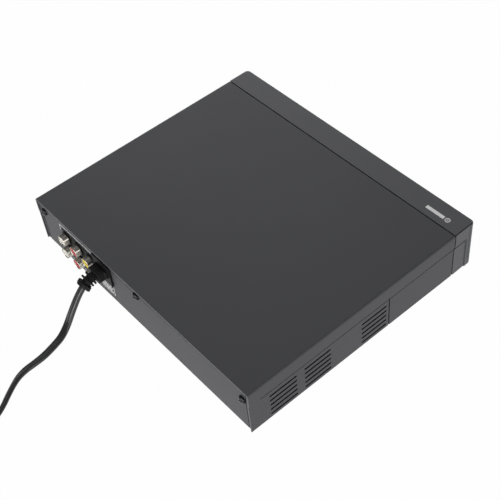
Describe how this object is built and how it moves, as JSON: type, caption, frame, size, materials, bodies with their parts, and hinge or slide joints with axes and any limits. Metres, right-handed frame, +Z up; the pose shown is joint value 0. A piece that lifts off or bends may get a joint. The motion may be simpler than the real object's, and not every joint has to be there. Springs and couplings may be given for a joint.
{
  "type": "disc player",
  "caption": "Compact disc player: folded black metal case, moulded front with a sliding disc tray, rear phono sockets and a plugged-in mains lead with a wall plug.",
  "frame": {"origin": "centre of the footprint, on the surface that the feet stand on, without the mains lead", "axes": "+Z up, the front with the tray faces -Y, +X to the right as seen from the front"},
  "size_m": [0.225, 0.3903, 0.0425],
  "materials": {
    "painted_steel": "matte black paint on folded steel",
    "zinc_steel": "zinc-plated sheet and turned steel",
    "nickel": "nickel plate, satin",
    "black_abs": "moulded black plastic, fine grain",
    "black_plastic": "moulded black plastic",
    "grey_plastic": "moulded dark grey plastic",
    "white_plastic": "natural white acetal",
    "insulator_white": "moulded white plastic",
    "insulator_red": "moulded red plastic",
    "insulator_yellow": "moulded yellow plastic",
    "window": "smoked clear plastic",
    "lens": "coated lens",
    "circuit_board": "green solder mask",
    "winding": "yellow tape over the windings",
    "soft_rubber": "black rubber",
    "cord_jacket": "black vinyl, satin",
    "ribbon": "flat film cable"
  },
  "bodies": {
    "case": {"top_cover": "painted_steel", "rear_panel": "painted_steel", "base_chassis": "zinc_steel", "front_fascia": "black_abs", "display_window": "window", "usb_port": "nickel", "button_board": "circuit_board", "main_board": "circuit_board", "power_board": "circuit_board", "power_transformer": "winding", "mains_capacitor": "black_plastic", "phono_block": "black_plastic", "phono_sleeves": "nickel", "mains_inlet": "black_plastic", "rear_screw_right": "zinc_steel", "rear_screw_middle": "zinc_steel", "rear_screw_left": "zinc_steel", "foot_rear_right": "soft_rubber", "foot_rear_left": "soft_rubber", "foot_front_right": "soft_rubber", "foot_front_left": "soft_rubber", "loader_frame": "grey_plastic", "clamp_bridge": "zinc_steel", "loading_belt": "soft_rubber", "loading_motor": "zinc_steel", "ribbon_cable": "ribbon", "phono_insulator_white_lower": "insulator_white", "phono_insulator_red_lower": "insulator_red", "phono_insulator_yellow_lower": "insulator_yellow", "phono_insulator_white_upper": "insulator_white", "phono_insulator_red_upper": "insulator_red", "phono_insulator_yellow_upper": "insulator_yellow"},
    "tray": {"disc_tray": "black_plastic", "tray_front": "black_abs"},
    "drive_gear": {"drive_gear": "white_plastic"},
    "motor_pulley": {"motor_pulley": "nickel"},
    "deck": {"traverse_deck": "grey_plastic", "spindle_motor": "nickel", "guide_rod_left": "zinc_steel", "guide_rod_right": "zinc_steel", "sled_motor": "nickel"},
    "turntable": {"turntable": "grey_plastic"},
    "sled": {"pickup_sled": "nickel", "pickup_lens": "lens"},
    "lead_screw": {"lead_screw": "zinc_steel"},
    "cam": {"lifting_cam": "grey_plastic"},
    "puck": {"clamper_puck": "white_plastic"},
    "power_button": {"power_button": "black_abs"},
    "eject_button": {"eject_button": "black_abs"},
    "play_button": {"play_button": "black_abs"},
    "stop_button": {"stop_button": "black_abs"},
    "lead": {"mains_plug": "cord_jacket", "mains_cord": "cord_jacket", "cord_coil": "cord_jacket", "cable_tie": "black_plastic", "wall_plug": "cord_jacket"}
  },
  "joints": [
    {"name": "tray_slide", "type": "slide", "parent": "case", "child": "tray", "axis": [0, -1, 0], "range_m": [0, 0.125]},
    {"name": "drive_gear_turn", "type": "hinge", "parent": "case", "child": "drive_gear", "pos_m": [0.007, -0.068, 0.0236], "axis": [0, 0, 1], "range_deg": [-730, 10]},
    {"name": "motor_pulley_turn", "type": "hinge", "parent": "case", "child": "motor_pulley", "pos_m": [-0.022, -0.064, 0.0199], "axis": [0, 0, 1], "range_deg": [-2530, 20]},
    {"name": "deck_tilt", "type": "hinge", "parent": "case", "child": "deck", "pos_m": [-0.039, 0.052, 0.019], "axis": [1, 0, 0], "range_deg": [0, 3.5]},
    {"name": "cam_slide", "type": "slide", "parent": "case", "child": "cam", "axis": [1, 0, 0], "range_m": [0, 0.0225]},
    {"name": "turntable_spin", "type": "hinge", "parent": "deck", "child": "turntable", "pos_m": [-0.039, -0.03, 0.027], "axis": [0, 0, 1], "continuous": true},
    {"name": "sled_slide", "type": "slide", "parent": "deck", "child": "sled", "axis": [0, 1, 0], "range_m": [0, 0.034]},
    {"name": "lead_screw_turn", "type": "hinge", "parent": "deck", "child": "lead_screw", "pos_m": [-0.005, 0.0128, 0.015], "axis": [0, 1, 0], "range_deg": [-20, 2060]},
    {"name": "puck_spin", "type": "hinge", "parent": "case", "child": "puck", "pos_m": [-0.039, -0.03, 0.034], "axis": [0, 0, 1], "continuous": true},
    {"name": "power_press", "type": "slide", "parent": "case", "child": "power_button", "axis": [0, 1, 0], "range_m": [0, 0.0007], "stiffness_N_per_m": 300},
    {"name": "eject_press", "type": "slide", "parent": "case", "child": "eject_button", "axis": [0, 1, 0], "range_m": [0, 0.0007], "stiffness_N_per_m": 300},
    {"name": "play_press", "type": "slide", "parent": "case", "child": "play_button", "axis": [0, 1, 0], "range_m": [0, 0.0007], "stiffness_N_per_m": 300},
    {"name": "stop_press", "type": "slide", "parent": "case", "child": "stop_button", "axis": [0, 1, 0], "range_m": [0, 0.0007], "stiffness_N_per_m": 300},
    {"name": "lead_unplug", "type": "slide", "parent": "case", "child": "lead", "axis": [0, 1, 0], "range_m": [0, 0.016]}
  ],
  "couplings": [
    {"joint": "drive_gear_turn", "follows": "tray_slide", "rad_per_m": -100},
    {"joint": "motor_pulley_turn", "follows": "tray_slide", "rad_per_m": -350},
    {"joint": "cam_slide", "follows": "deck_tilt", "m_per_rad": 0.36015},
    {"joint": "lead_screw_turn", "follows": "sled_slide", "rad_per_m": 1047.2}
  ]
}
